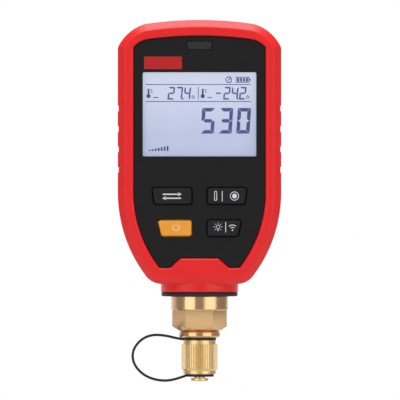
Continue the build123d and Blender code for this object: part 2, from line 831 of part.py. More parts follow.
# Fitting: turned round its axis from one bar, with the hexagon milled on it
sensor_top_z = floor_z + fitting_washer_height + fitting_nut_height + stem_end_length
sensor_seat_z = sensor_top_z - sensor_seat_depth
nose_height = thread_radius - nose_tip_radius
o_ring_z = neck_z + o_ring_rise
groove_radius = stem_radius + stem_gap - o_ring_gap - o_ring_section
with BuildPart() as fitting_body:
    with BuildSketch(Plane.XY.offset(hex_z)):
        RegularPolygon(hex_flats / 2, 6, major_radius=False, rotation=hex_turn)
    extrude(amount=hex_height)
    cone_reach = 2 * hex_flats
    cone_rise = tan(radians(hex_chamfer_angle)) * (cone_reach - collar_radius)
    with BuildSketch(Plane.XZ):
        with BuildLine():
            Polyline((collar_radius, hex_z), (cone_reach, hex_z), (cone_reach, hex_z + cone_rise), close=True)
        make_face()
    revolve(axis=Axis.Z, mode=Mode.SUBTRACT)
    with BuildSketch(Plane.XZ):
        with BuildLine():
            Polyline((port_bore_radius, 0), (nose_tip_radius, 0), (thread_radius, nose_height),
                     (thread_radius, port_length - relief_length), (relief_radius, port_length - relief_length),
                     (relief_radius, collar_z), (collar_radius - collar_chamfer, collar_z),
                     (collar_radius, collar_z + collar_chamfer), (collar_radius, hex_z - collar_chamfer),
                     (collar_radius - collar_chamfer, hex_z), (collar_radius - collar_chamfer, drum_z),
                     (drum_radius - drum_chamfer, drum_z), (drum_radius, drum_z + drum_chamfer),
                     (drum_radius, seal_z - drum_top_chamfer), (drum_radius - drum_top_chamfer, seal_z),
                     (stem_radius, seal_z), (stem_radius, o_ring_z - o_ring_section / 2 - o_ring_gap),
                     (groove_radius, o_ring_z - o_ring_section / 2 - o_ring_gap),
                     (groove_radius, o_ring_z + o_ring_section / 2 + o_ring_gap),
                     (stem_radius, o_ring_z + o_ring_section / 2 + o_ring_gap), (stem_radius, sensor_top_z),
                     (sensor_radius + sensor_gap, sensor_top_z), (sensor_radius + sensor_gap, sensor_seat_z),
                     (port_bore_radius, sensor_seat_z), close=True)
        make_face()
    revolve(axis=Axis.Z)
    with BuildSketch(Plane.XY.offset(hex_z - collar_height)):
        Circle(port_bore_radius)
    extrude(amount=hex_height + 2 * collar_height, mode=Mode.SUBTRACT)
keep(fitting_body.part, "fitting_body")

with BuildPart() as neck_seal:
    with BuildSketch(Plane.XY.offset(seal_z)):
        Circle(seal_radius)
        Circle(stem_radius + stem_gap, mode=Mode.SUBTRACT)
    extrude(amount=seal_height)
    outer_edges = neck_seal.edges().filter_by(GeomType.CIRCLE).sort_by(SortBy.RADIUS)[-2:]
    fillet(outer_edges, seal_edge)
keep(neck_seal.part, "neck_seal")

with BuildPart() as fitting_o_ring:
    with BuildSketch(Plane.XZ):
        with Locations((stem_radius + stem_gap - o_ring_gap - o_ring_section / 2, o_ring_z)):
            Circle(o_ring_section / 2 - o_ring_gap / 2)
    revolve(axis=Axis.Z)
keep(fitting_o_ring.part, "fitting_o_ring")

with BuildPart() as fitting_washer:
    with BuildSketch(Plane.XY.offset(floor_z)):
        Circle(fitting_washer_radius)
        Circle(stem_radius + stem_gap, mode=Mode.SUBTRACT)
    extrude(amount=fitting_washer_height)
keep(fitting_washer.part, "fitting_washer")

with BuildPart() as fitting_nut:
    with BuildSketch(Plane.XY.offset(floor_z + fitting_washer_height)):
        RegularPolygon(fitting_nut_flats / 2, 6, major_radius=False, rotation=0)
        Circle(stem_radius + fitting_nut_gap, mode=Mode.SUBTRACT)
    extrude(amount=fitting_nut_height)
keep(fitting_nut.part, "fitting_nut")

sensor_can_top = sensor_seat_z + sensor_height
with BuildPart() as vacuum_sensor:
    with BuildSketch(Plane.XY.offset(sensor_seat_z)):
        Circle(sensor_radius)
        Circle(port_bore_radius, mode=Mode.SUBTRACT)
    extrude(amount=sensor_height)
    with BuildSketch(Plane.XY.offset(sensor_seat_z + sensor_height / 2)):
        Circle(sensor_radius - sensor_pin_radius)
    extrude(amount=sensor_height / 2)
    with BuildSketch(Plane.XY.offset(sensor_can_top)):
        with Locations((0, sensor_pin_radius)):
            with GridLocations(sensor_pin_pitch, 0, 4, 1):
                Circle(sensor_pin_radius)
    extrude(amount=sensor_pin_length)
keep(vacuum_sensor.part, "vacuum_sensor")

with BuildPart() as sensor_board:
    with BuildSketch(Plane.XZ):
        with Locations((0, sensor_can_top + sensor_board_gap + sensor_board_height / 2)):
            Rectangle(sensor_board_width, sensor_board_height)
    extrude(amount=sensor_board_thickness)
keep(sensor_board.part, "sensor_board")

with BuildPart() as sensor_header:
    with BuildSketch(front(sensor_board_thickness)):
        with Locations((0, base_z + header_rise)):
            Rectangle(header_width, header_height)
    extrude(amount=board_back - sensor_board_thickness)
keep(sensor_header.part, "sensor_header")

# Cap: threaded over the port, closed below, with a post for the tether's lower eye
cap_top_z = port_length - cap_mouth_gap
knurl_top_z = cap_top_z - cap_rim_height
knurl_low_z = knurl_top_z - cap_knurl_height
cap_low_z = knurl_low_z - cap_foot_height
head_z = cap_low_z - post_neck_length
foot_z = head_z - post_head_height
cap_floor_z = -gasket_height - gasket_gap
with BuildPart() as cap:
    with BuildSketch(Plane.XZ):
        with BuildLine():
            Polyline((0, foot_z), (post_head_radius - post_head_edge, foot_z),
                     (post_head_radius, foot_z + post_head_edge), (post_head_radius, head_z),
                     (post_radius, head_z), (post_radius, cap_low_z),
                     (cap_rim_radius, cap_low_z), (cap_rim_radius, knurl_low_z),
                     (cap_knurl_radius, knurl_low_z + cap_knurl_chamfer), (cap_knurl_radius, knurl_top_z),
                     (cap_rim_radius, knurl_top_z), (cap_rim_radius, cap_top_z),
                     (thread_radius + cap_running_gap, cap_top_z),
                     (thread_radius + cap_running_gap, cap_floor_z), (0, cap_floor_z), close=True)
        make_face()
    revolve(axis=Axis.Z)
    with BuildSketch(Plane.XY.offset(knurl_low_z)):
        with PolarLocations(cap_knurl_radius, knurl_count):
            Polygon((-knurl_depth, 0), (knurl_depth, -knurl_width), (knurl_depth, knurl_width), align=None)
    extrude(amount=cap_knurl_height, mode=Mode.SUBTRACT)
keep(cap.part, "cap")

with BuildPart() as cap_gasket:
    with BuildSketch(Plane.XY.offset(cap_floor_z)):
        Circle(gasket_radius)
    extrude(amount=gasket_height)
keep(cap_gasket.part, "cap_gasket")


def route_radii(points):
    """Each bend is as large as its two runs allow: 0.45 of the shorter one over the tangent of half the turn."""
    radii = []
    for before, here, after in zip(points, points[1:], points[2:]):
        first = Vector(*here) - Vector(*before)
        second = Vector(*after) - Vector(*here)
        half_turn = radians(first.get_angle(second)) / 2
        radii.append(0.45 * min(first.length, second.length) / tan(half_turn))
    return radii


# Tether: one moulding, an eye round the fitting's relief, a flat strap and an eye round the cap's post
bend_radii = route_radii([(x, z, 0) for x, z in tether_route])
print("tether bend radii", [round(r, 1) for r in bend_radii])
upper_eye_z = collar_z - eye_thickness
lower_eye_z = cap_low_z - eye_play - eye_thickness
with BuildPart() as cap_tether:
    with BuildLine(Plane.XZ) as strap_path:
        FilletPolyline(*tether_route, radius=bend_radii)
    strap_line = strap_path.wires()[0]
    with BuildSketch(Plane(origin=strap_line @ 0, x_dir=(0, 1, 0), z_dir=strap_line % 0)):
        Rectangle(strap_width, strap_thickness)
    sweep(path=strap_line)
    strap_volume = strap_width * strap_thickness * strap_line.length
    print("tether strap length", round(strap_line.length, 2))
    print("strap volume over section times length", round(cap_tether.part.volume / strap_volume, 4))
    with BuildSketch(Plane.XY.offset(upper_eye_z)):
        Circle(upper_eye_radius)
    extrude(amount=eye_thickness)
    with BuildSketch(Plane.XY.offset(upper_eye_z - strap_thickness)):
        Circle(relief_radius + eye_gap)
    extrude(amount=eye_thickness + 2 * strap_thickness, mode=Mode.SUBTRACT)
    with BuildSketch(Plane.XY.offset(lower_eye_z)):
        Circle(lower_eye_radius)
    extrude(amount=eye_thickness)
    with BuildSketch(Plane.XY.offset(lower_eye_z - strap_thickness)):
        Circle(post_radius + eye_gap)
    extrude(amount=eye_thickness + 2 * strap_thickness, mode=Mode.SUBTRACT)
keep(cap_tether.part, "cap_tether")
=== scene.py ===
import json
from math import cos, pi, radians, sin

import bmesh
import bpy
from mathutils import Matrix, Vector


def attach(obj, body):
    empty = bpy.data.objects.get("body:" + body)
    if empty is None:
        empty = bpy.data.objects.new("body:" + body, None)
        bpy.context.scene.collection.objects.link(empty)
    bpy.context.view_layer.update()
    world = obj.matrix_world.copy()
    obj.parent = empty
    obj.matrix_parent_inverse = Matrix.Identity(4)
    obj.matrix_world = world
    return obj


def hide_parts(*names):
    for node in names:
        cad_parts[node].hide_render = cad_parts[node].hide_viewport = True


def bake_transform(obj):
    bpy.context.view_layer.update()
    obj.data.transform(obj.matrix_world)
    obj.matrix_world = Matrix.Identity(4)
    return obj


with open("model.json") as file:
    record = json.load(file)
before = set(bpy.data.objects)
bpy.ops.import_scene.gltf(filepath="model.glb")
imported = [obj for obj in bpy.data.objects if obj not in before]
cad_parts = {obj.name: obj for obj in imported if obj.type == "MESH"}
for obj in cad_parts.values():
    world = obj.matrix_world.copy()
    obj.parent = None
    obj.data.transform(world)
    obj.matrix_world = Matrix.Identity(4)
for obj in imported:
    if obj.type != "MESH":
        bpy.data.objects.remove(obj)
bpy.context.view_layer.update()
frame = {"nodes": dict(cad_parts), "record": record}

MM = 0.001

# Sizes shared with the solids, in millimetres
thread_radius = 5.555
thread_root = 4.9
thread_pitch = 1.27
thread_low = 2.4
thread_high = 9.1
relief_radius = 4.4
lcd_front = 14.6
panel_front = 16.9
key_top = 17.8
collar_z = 11.6
collar_radius = 8.35
hex_low = 14.3
hex_high = 22.6
eye_thickness = 1.05
lower_eye_top = -3.2
strap_width = 3.2
strap_thickness = 1.0
strap_route = [(-6.6, 10.9), (-9.3, 11.3), (-14.0, 12.5), (-19.3, 12.8), (-23.9, 10.8), (-27.2, 6.3),
               (-26.9, 1.2), (-23.4, -3.1), (-18.6, -5.4), (-13.3, -6.0), (-8.6, -4.95), (-5.6, -3.85)]


def show(piece):
    bpy.context.scene.collection.objects.link(piece)
    return piece


def make_camera():
    """Straight in front, far enough off that the near edges are hardly larger than the middle."""
    lens = bpy.data.cameras.new("camera")
    distance = 5.0
    view_width = 0.162
    lens.sensor_width = 36
    lens.lens = lens.sensor_width * distance / view_width
    camera = show(bpy.data.objects.new("camera", lens))
    camera.location = (0.0002, -distance, 0.0673)
    camera.rotation_euler = (radians(90), 0, 0)
    bpy.context.scene.camera = camera


make_camera()


# Node helpers

def add_node(tree, kind, inputs=(), **settings):
    """One node, with its settings and the values of its inputs by name or number."""
    made = tree.nodes.new(kind)
    for key, value in settings.items():
        setattr(made, key, value)
    for key, value in dict(inputs).items():
        made.inputs[key].default_value = value
    return made


def noise_of(tree, size, detail=2.0, stretch=(1, 1, 1)):
    """Noise on Object coordinates, whose grains are about size across, in millimetres."""
    coordinates = add_node(tree, "ShaderNodeTexCoord")
    mapping = add_node(tree, "ShaderNodeMapping", {"Scale": stretch})
    noise = add_node(tree, "ShaderNodeTexNoise", {"Scale": 1 / (size * MM), "Detail": detail})
    tree.links.new(coordinates.outputs["Object"], mapping.inputs["Vector"])
    tree.links.new(mapping.outputs["Vector"], noise.inputs["Vector"])
    return noise.outputs["Fac"]


def blend_of(tree, factor, low, high):
    """A colour between two, by a factor."""
    mix = add_node(tree, "ShaderNodeMix", data_type="RGBA")
    for socket, colour in zip([s for s in mix.inputs if s.type == "RGBA"], (low, high)):
        socket.default_value = (*colour, 1)
    tree.links.new(factor, mix.inputs["Factor"])
    return [s for s in mix.outputs if s.type == "RGBA"][0]


def finish(name, low, high, roughness, grain, depth, patch=9.0, spread=0.08, edge=0.0, stretch=(1, 1, 1), **sockets):
    """A finish with patchy colour and gloss, a fine grain of a size and depth, and softly rounded edges."""
    material = bpy.data.materials.new(name)
    material.use_nodes = True
    tree = material.node_tree
    shader = tree.nodes["Principled BSDF"]
    tree.links.new(blend_of(tree, noise_of(tree, patch, 4.0), low, high), shader.inputs["Base Color"])
    gloss = add_node(tree, "ShaderNodeMapRange", {"To Min": roughness - spread, "To Max": roughness + spread})
    tree.links.new(noise_of(tree, patch / 6, 5.0), gloss.inputs["Value"])
    tree.links.new(gloss.outputs["Result"], shader.inputs["Roughness"])
    bump = add_node(tree, "ShaderNodeBump", {"Strength": 0.6, "Distance": depth * MM})
    tree.links.new(noise_of(tree, grain, 2.0, stretch), bump.inputs["Height"])
    if edge:
        rounding = add_node(tree, "ShaderNodeBevel", {"Radius": edge * MM}, samples=6)
        tree.links.new(rounding.outputs["Normal"], bump.inputs["Normal"])
    tree.links.new(bump.outputs["Normal"], shader.inputs["Normal"])
    for key, value in sockets.items():
        shader.inputs[key.replace("_", " ")].default_value = value
    return material


def painted_glow(material, colour, strength, painted_top_colour=None):
    """Painted light: emission in place of the light that falls on the part, with painted light growing brighter
    towards its top.
    """
    tree = material.node_tree
    shader = tree.nodes["Principled BSDF"]
    shader.inputs["Emission Color"].default_value = (*colour, 1)
    shader.inputs["Emission Strength"].default_value = strength
    # Painted light: brighter towards the top by height, as if lit from above
    if painted_top_colour:
        coordinates = add_node(tree, "ShaderNodeTexCoord")
        parts = add_node(tree, "ShaderNodeSeparateXYZ")
        painted_top_share = add_node(tree, "ShaderNodeMapRange", {"From Min": 0.094, "From Max": 0.119})
        tree.links.new(coordinates.outputs["Object"], parts.inputs["Vector"])
        tree.links.new(parts.outputs["Z"], painted_top_share.inputs["Value"])
        tree.links.new(blend_of(tree, painted_top_share.outputs["Result"], colour, painted_top_colour), shader.inputs["Emission Color"])
    return material


rings = (0.02, 0.02, 1)
finishes = {
    "red_case": finish("red_case", (0.76, 0.009, 0.011), (0.82, 0.012, 0.015), 0.34, 0.35, 0.006, edge=1.0,
                       Specular_IOR_Level=0.4),
    "black_panel": finish("black_panel", (0.0065, 0.006, 0.0065), (0.009, 0.0085, 0.009), 0.5, 0.22, 0.008,
                          edge=0.25, Specular_IOR_Level=0.22),
    "clear_window": finish("clear_window", (0.9, 0.92, 0.96), (0.94, 0.95, 0.98), 0.08, 0.6, 0.001, spread=0.03,
                           Alpha=0.05),
    # Painted light: the display's glow stands in for the light falling on it through the window, brighter towards its
    # top; no backlight is lit
    "display_glass": painted_glow(finish("display_glass", (0.20, 0.22, 0.29), (0.22, 0.24, 0.31), 0.3, 0.5, 0.001),
                          (0.46, 0.52, 0.76), 0.6, (0.78, 0.83, 1.0)),
    "light_guide": finish("light_guide", (0.82, 0.85, 0.88), (0.88, 0.90, 0.93), 0.35, 0.5, 0.004),
    "contact_strip": finish("contact_strip", (0.02, 0.02, 0.02), (0.16, 0.16, 0.17), 0.6, 0.12, 0.01, patch=0.4),
    "white_frame": finish("white_frame", (0.74, 0.74, 0.72), (0.80, 0.80, 0.78), 0.5, 0.4, 0.008),
    "smoked_window": finish("smoked_window", (0.020, 0.021, 0.024), (0.026, 0.027, 0.030), 0.3, 0.3, 0.002,
                            edge=0.15, Specular_IOR_Level=0.4),
    "lamp_body": finish("lamp_body", (0.78, 0.79, 0.72), (0.84, 0.85, 0.78), 0.25, 0.5, 0.002),
    "mat_silicone": finish("mat_silicone", (0.17, 0.17, 0.18), (0.21, 0.21, 0.22), 0.7, 0.4, 0.01),
    "circuit_board": finish("circuit_board", (0.012, 0.10, 0.045), (0.022, 0.14, 0.065), 0.4, 0.5, 0.01, patch=2.0),
    "screw_steel": finish("screw_steel", (0.52, 0.52, 0.53), (0.62, 0.62, 0.62), 0.3, 0.3, 0.006, Metallic=1.0),
    "black_part": finish("black_part", (0.014, 0.014, 0.015), (0.022, 0.022, 0.023), 0.55, 0.25, 0.01),
    "module_shield": finish("module_shield", (0.56, 0.56, 0.56), (0.66, 0.66, 0.65), 0.32, 1.2, 0.01, Metallic=1.0),
    "sensor_can": finish("sensor_can", (0.55, 0.55, 0.56), (0.64, 0.64, 0.64), 0.28, 0.2, 0.006, stretch=rings,
                         Metallic=1.0),
    "cell_can": finish("cell_can", (0.035, 0.12, 0.24), (0.05, 0.16, 0.30), 0.35, 0.5, 0.004, Coat_Weight=0.3),
    "contact_metal": finish("contact_metal", (0.62, 0.62, 0.60), (0.72, 0.72, 0.70), 0.22, 0.6, 0.005, Metallic=1.0),
    "door_plastic": finish("door_plastic", (0.011, 0.010, 0.011), (0.016, 0.015, 0.016), 0.52, 0.3, 0.012,
                           edge=0.3, Specular_IOR_Level=0.3),
    "seal_rubber": finish("seal_rubber", (0.012, 0.011, 0.011), (0.020, 0.018, 0.018), 0.55, 0.4, 0.01, edge=0.2,
                          Specular_IOR_Level=0.35),
    "fitting_brass": finish("fitting_brass", (0.77, 0.47, 0.245), (0.83, 0.52, 0.28), 0.2, 0.16, 0.004,
                            patch=4.0, spread=0.05, stretch=rings, Metallic=1.0),
    "milled_brass": finish("milled_brass", (0.77, 0.50, 0.25), (0.83, 0.55, 0.28), 0.4, 0.3, 0.01,
                           patch=2.0, spread=0.06, Metallic=1.0),
    "washer_steel": finish("washer_steel", (0.52, 0.52, 0.53), (0.60, 0.60, 0.61), 0.3, 0.3, 0.006, Metallic=1.0),
    "cap_brass": finish("cap_brass", (0.84, 0.60, 0.29), (0.90, 0.66, 0.33), 0.36, 0.2, 0.004, patch=3.0,
                        spread=0.05, Metallic=1.0),
    "tether_rubber": finish("tether_rubber", (0.010, 0.009, 0.010), (0.016, 0.015, 0.016), 0.5, 0.3, 0.008,
                            Specular_IOR_Level=0.4),
    "dark_key": finish("dark_key", (0.0085, 0.0085, 0.0105), (0.0115, 0.0115, 0.014), 0.55, 0.25, 0.01, edge=0.2,
                       Specular_IOR_Level=0.25),
    "amber_key": finish("amber_key", (0.77, 0.31, 0.026), (0.83, 0.345, 0.034), 0.5, 0.25, 0.01, edge=0.2,
                        Specular_IOR_Level=0.35),
}
# Painted light: a faint glow added to the dark segment ink
segment_ink = painted_glow(finish("segment_ink", (0.008, 0.012, 0.16), (0.010, 0.016, 0.20), 0.4, 0.3, 0.001,
                          Specular_IOR_Level=0.1), (0.01, 0.02, 0.30), 0.12)
pale_print = finish("pale_print", (0.66, 0.66, 0.67), (0.74, 0.74, 0.75), 0.5, 0.2, 0.004, patch=1.0)
warm_print = finish("warm_print", (0.88, 0.56, 0.27), (0.94, 0.62, 0.31), 0.5, 0.2, 0.004, patch=1.0)
plate_red = finish("plate_red", (0.44, 0.010, 0.012), (0.49, 0.013, 0.016), 0.4, 0.25, 0.004, edge=0.1,
                   Specular_IOR_Level=0.3)

for row in frame["record"]["subparts"]:
    node = frame["nodes"][row["node"]]
    if not node.material_slots:
        node.data.materials.append(None)
    for place in node.material_slots:
        place.material = finishes[row["material_slot"]]


# Mesh helpers

def settle(form, name, material):
    """A finished mesh object from a bmesh, its faces turned outwards."""
    bmesh.ops.recalc_face_normals(form, faces=form.faces)
    mesh = bpy.data.meshes.new(name)
    form.to_mesh(mesh)
    form.free()
    mesh.materials.append(material)
    return show(bpy.data.objects.new(name, mesh))


def plates(name, shapes, back, front, material):
    """Closed plates, one for each flat shape of x and z, between two depths forward of the parting plane."""
    form = bmesh.new()
    for shape in shapes:
        near = [form.verts.new((x * MM, -front * MM, z * MM)) for x, z in shape]
        far = [form.verts.new((x * MM, -back * MM, z * MM)) for x, z in shape]
        form.faces.new(near)
        form.faces.new(far[::-1])
        for i in range(len(shape)):
            j = (i + 1) % len(shape)
            form.faces.new((near[j], near[i], far[i], far[j]))
    return settle(form, name, material)


def turned(name, profile, material, steps=72):
    """A closed ring turned round the Z axis from a closed section of radius and height."""
    form = bmesh.new()
    rows = []
    for i in range(steps):
        angle = 2 * pi * i / steps
        rows.append([form.verts.new((r * cos(angle) * MM, r * sin(angle) * MM, z * MM)) for r, z in profile])
    for i in range(steps):
        here, after = rows[i], rows[(i + 1) % steps]
        for j in range(len(profile)):
            k = (j + 1) % len(profile)
            form.faces.new((here[j], after[j], after[k], here[k]))
    piece = settle(form, name, material)
    piece.data.shade_smooth()
    return piece


def give(piece, body):
    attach(piece, body)
    return piece


def box_shape(x0, z0, x1, z1):
    return [(x0, z0), (x1, z0), (x1, z1), (x0, z1)]


def round_shape(x0, z0, x1, z1, radius, steps=6):
    """A rectangle with rounded corners."""
    points = []
    corners = [(x1 - radius, z0 + radius, -90), (x1 - radius, z1 - radius, 0), (x0 + radius, z1 - radius, 90),
               (x0 + radius, z0 + radius, 180)]
    for x, z, start in corners:
        for i in range(steps + 1):
            angle = radians(start + 90 * i / steps)
            points.append((x + radius * cos(angle), z + radius * sin(angle)))
    return points


def arc_shape(x, z, inner, outer, start, end, steps=20):
    """A band along an arc, its angles in degrees anticlockwise from +X."""
    angles = [radians(start + (end - start) * i / steps) for i in range(steps + 1)]
    return [(x + outer * cos(a), z + outer * sin(a)) for a in angles] + [
        (x + inner * cos(a), z + inner * sin(a)) for a in reversed(angles)]


def ring_shapes(x, z, inner, outer):
    return [arc_shape(x, z, inner, outer, start, start + 180) for start in (0, 180)]


def disc_shape(x, z, radius, steps=24):
    return [(x + radius * cos(2 * pi * i / steps), z + radius * sin(2 * pi * i / steps)) for i in range(steps)]


def bar_shape(x0, z0, x1, z1, width):
    """A straight bar between two points."""
    along = Vector((x1 - x0, z1 - z0)).normalized() * (width / 2)
    return [(x0 + along.y, z0 - along.x), (x1 + along.y, z1 - along.x), (x1 - along.y, z1 + along.x),
            (x0 - along.y, z0 + along.x)]


# Tether: a flat strap along its route, with an eye round the fitting and one round the cap's post

def route_line(points):
    """Points along the smooth line that a NURBS spline makes of the route."""
    curve = bpy.data.curves.new("strap_line", "CURVE")
    curve.dimensions = "3D"
    spline = curve.splines.new("NURBS")
    spline.points.add(len(points) - 1)
    for point, (x, z) in zip(spline.points, points):
        point.co = (x * MM, 0, z * MM, 1)
    spline.order_u = 3
    spline.use_endpoint_u = True
    spline.resolution_u = 10
    carrier = show(bpy.data.objects.new("strap_line", curve))
    mesh = bpy.data.meshes.new_from_object(carrier)
    line = [v.co.copy() for v in mesh.vertices]
    bpy.data.objects.remove(carrier)
    bpy.data.meshes.remove(mesh)
    bpy.data.curves.remove(curve)
    return line


def make_strap():
    line = route_line(strap_route)
    half = strap_width / 2
    section = round_shape(-half, -strap_thickness / 2, half, strap_thickness / 2, 0.34, 4)
    form = bmesh.new()
    rows = []
    for i, point in enumerate(line):
        along = (line[min(i + 1, len(line) - 1)] - line[max(i - 1, 0)]).normalized()
        across = Vector((-along.z, 0, along.x))
        rows.append([form.verts.new(point + Vector((0, y * MM, 0)) + across * (t * MM)) for y, t in section])
    for here, after in zip(rows, rows[1:]):
        for j in range(len(section)):
            k = (j + 1) % len(section)
            form.faces.new((here[j], here[k], after[k], after[j]))
    form.faces.new(rows[0])
    form.faces.new(rows[-1][::-1])
    strap = settle(form, "tether_strap", finishes["tether_rubber"])
    strap.data.shade_smooth()
    return strap, line


def eye_profile(inner, outer, low, high, rounding=0.22):
    """The section of a flat eye with rounded rims."""
    points = []
    corners = [(outer - rounding, low + rounding, -90), (outer - rounding, high - rounding, 0),
               (inner + rounding, high - rounding, 90), (inner + rounding, low + rounding, 180)]
    for r, z, start in corners:
        for i in range(5):
            angle = radians(start + 90 * i / 4)
            points.append((r + rounding * cos(angle), z + rounding * sin(angle)))
    return points


strap, strap_line_points = make_strap()
upper_eye = turned("tether_upper_eye", eye_profile(4.65, 6.75, collar_z - eye_thickness, collar_z - 0.02),
                   finishes["tether_rubber"])
lower_eye = turned("tether_lower_eye", eye_profile(2.45, 5.8, lower_eye_top - eye_thickness, lower_eye_top),
                   finishes["tether_rubber"])
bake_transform(strap)
give(upper_eye, "gauge")
give(lower_eye, "tether")
for piece in (strap, upper_eye, lower_eye):
    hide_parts("cap_tether")


# Geometry Nodes: what repeats

def start_tree(name, inputs):
    """A tree with named inputs; a tree's row of inputs is label, socket kind and value."""
    tree = bpy.data.node_groups.new(name, "GeometryNodeTree")
    tree.interface.new_socket("Geometry", in_out="INPUT", socket_type="NodeSocketGeometry")
    for label, kind, value in inputs:
        socket = tree.interface.new_socket(label, in_out="INPUT", socket_type="NodeSocket" + kind)
        if value is not None:
            socket.default_value = value
    tree.interface.new_socket("Geometry", in_out="OUTPUT", socket_type="NodeSocketGeometry")
    return tree, add_node(tree, "NodeGroupInput"), add_node(tree, "NodeGroupOutput")


def end_tree(tree, given, result, geometry):
    """Realize Instances and Set Material, last in each tree."""
    real = add_node(tree, "GeometryNodeRealizeInstances")
    paint = add_node(tree, "GeometryNodeSetMaterial")
    tree.links.new(geometry, real.inputs["Geometry"])
    tree.links.new(real.outputs["Geometry"], paint.inputs["Geometry"])
    tree.links.new(given.outputs["Material"], paint.inputs["Material"])
    tree.links.new(paint.outputs["Geometry"], result.inputs["Geometry"])


def grow(name, tree, values):
    """A plain mesh from a tree and the values of its inputs."""
    carrier = show(bpy.data.objects.new(name + "_carrier", bpy.data.meshes.new(name + "_carrier")))
    modifier = carrier.modifiers.new("grow", "NODES")
    modifier.node_group = tree
    for item in tree.interface.items_tree:
        if item.item_type == "SOCKET" and item.in_out == "INPUT" and item.name in values:
            modifier[item.identifier] = values[item.name]
    mesh = bpy.data.meshes.new_from_object(carrier.evaluated_get(bpy.context.evaluated_depsgraph_get()))
    bpy.data.objects.remove(carrier)
    form = bmesh.new()
    form.from_mesh(mesh)
    bpy.data.meshes.remove(mesh)
    bmesh.ops.remove_doubles(form, verts=form.verts, dist=0.000001)
    return settle(form, name, values["Material"])


def thread_tree():
    """A ridge wound round Z: a spiral with a diamond section."""
    tree, given, result = start_tree("thread", [
        ("Turns", "Float", 5.0), ("Radius", "Float", 0.005), ("Rise", "Float", 0.006), ("Ridge", "Float", 0.0006),
        ("Start", "Vector", (0, 0, 0)), ("Material", "Material", None)])
    spiral = add_node(tree, "GeometryNodeCurveSpiral", {"Resolution": 40})
    ridge = add_node(tree, "GeometryNodeCurvePrimitiveCircle", {"Resolution": 4})
    sweep = add_node(tree, "GeometryNodeCurveToMesh", {"Fill Caps": True})
    lift = add_node(tree, "GeometryNodeTransform")
    for source, target in (("Turns", spiral.inputs["Rotations"]), ("Radius", spiral.inputs["Start Radius"]),
                           ("Radius", spiral.inputs["End Radius"]), ("Rise", spiral.inputs["Height"]),
                           ("Ridge", ridge.inputs["Radius"]), ("Start", lift.inputs["Translation"])):
        tree.links.new(given.outputs[source], target)
    tree.links.new(spiral.outputs["Curve"], sweep.inputs["Curve"])
    tree.links.new(ridge.outputs["Curve"], sweep.inputs["Profile Curve"])
    tree.links.new(sweep.outputs["Mesh"], lift.inputs["Geometry"])
    end_tree(tree, given, result, lift.outputs["Geometry"])
    return tree


def bar_row_tree():
    """A row of upright bars on one base line, each taller than the last by a share of the first."""
    tree, given, result = start_tree("bar_row", [
        ("Count", "Int", 4), ("First", "Vector", (0, 0, 0)), ("Step", "Vector", (0.001, 0, 0)),
        ("Size", "Vector", (0.001, 0.0001, 0.001)), ("Growth", "Float", 0.0), ("Material", "Material", None)])
    line = add_node(tree, "GeometryNodeMeshLine")
    bar = add_node(tree, "GeometryNodeMeshCube")
    lift = add_node(tree, "ShaderNodeVectorMath", {1: (0, 0, 0.5)}, operation="MULTIPLY")
    stand = add_node(tree, "GeometryNodeTransform")
    number = add_node(tree, "GeometryNodeInputIndex")
    taller = add_node(tree, "ShaderNodeMath", {2: 1.0}, operation="MULTIPLY_ADD")
    scale = add_node(tree, "ShaderNodeCombineXYZ", {"X": 1.0, "Y": 1.0})
    copies = add_node(tree, "GeometryNodeInstanceOnPoints")
    for start, end in ((given.outputs["Count"], line.inputs["Count"]),
                       (given.outputs["First"], line.inputs["Start Location"]),
                       (given.outputs["Step"], line.inputs["Offset"]), (given.outputs["Size"], bar.inputs["Size"]),
                       (given.outputs["Size"], lift.inputs[0]), (bar.outputs["Mesh"], stand.inputs["Geometry"]),
                       (lift.outputs["Vector"], stand.inputs["Translation"]),
                       (number.outputs["Index"], taller.inputs[0]), (given.outputs["Growth"], taller.inputs[1]),
                       (taller.outputs["Value"], scale.inputs["Z"]), (line.outputs["Mesh"], copies.inputs["Points"]),
                       (stand.outputs["Geometry"], copies.inputs["Instance"]),
                       (scale.outputs["Vector"], copies.inputs["Scale"])):
        tree.links.new(start, end)
    end_tree(tree, given, result, copies.outputs["Instances"])
    return tree


def ray_tree():
    """Short bars pointing away from one centre, evenly round it."""
    tree, given, result = start_tree("rays", [
        ("Count", "Int", 8), ("Centre", "Vector", (0, 0, 0)), ("Reach", "Vector", (0.001, 0, 0)),
        ("Size", "Vector", (0.0005, 0.0001, 0.0002)), ("Material", "Material", None)])
    line = add_node(tree, "GeometryNodeMeshLine", {"Offset": (0, 0, 0)})
    bar = add_node(tree, "GeometryNodeMeshCube")
    out = add_node(tree, "GeometryNodeTransform")
    number = add_node(tree, "GeometryNodeInputIndex")
    share = add_node(tree, "ShaderNodeMath", operation="DIVIDE")
    turn = add_node(tree, "ShaderNodeMath", {1: 2 * pi}, operation="MULTIPLY")
    rotation = add_node(tree, "ShaderNodeCombineXYZ")
    copies = add_node(tree, "GeometryNodeInstanceOnPoints")
    for start, end in ((given.outputs["Count"], line.inputs["Count"]),
                       (given.outputs["Centre"], line.inputs["Start Location"]),
                       (given.outputs["Size"], bar.inputs["Size"]), (bar.outputs["Mesh"], out.inputs["Geometry"]),
                       (given.outputs["Reach"], out.inputs["Translation"]), (number.outputs["Index"], share.inputs[0]),
                       (given.outputs["Count"], share.inputs[1]), (share.outputs["Value"], turn.inputs[0]),
                       (turn.outputs["Value"], rotation.inputs["Y"]), (line.outputs["Mesh"], copies.inputs["Points"]),
                       (out.outputs["Geometry"], copies.inputs["Instance"]),
                       (rotation.outputs["Vector"], copies.inputs["Rotation"])):
        tree.links.new(start, end)
    end_tree(tree, given, result, copies.outputs["Instances"])
    return tree


bar_row = bar_row_tree()
rays = ray_tree()


# Fitting: a copy with the plain thread drawn in to its root, and the thread wound on it

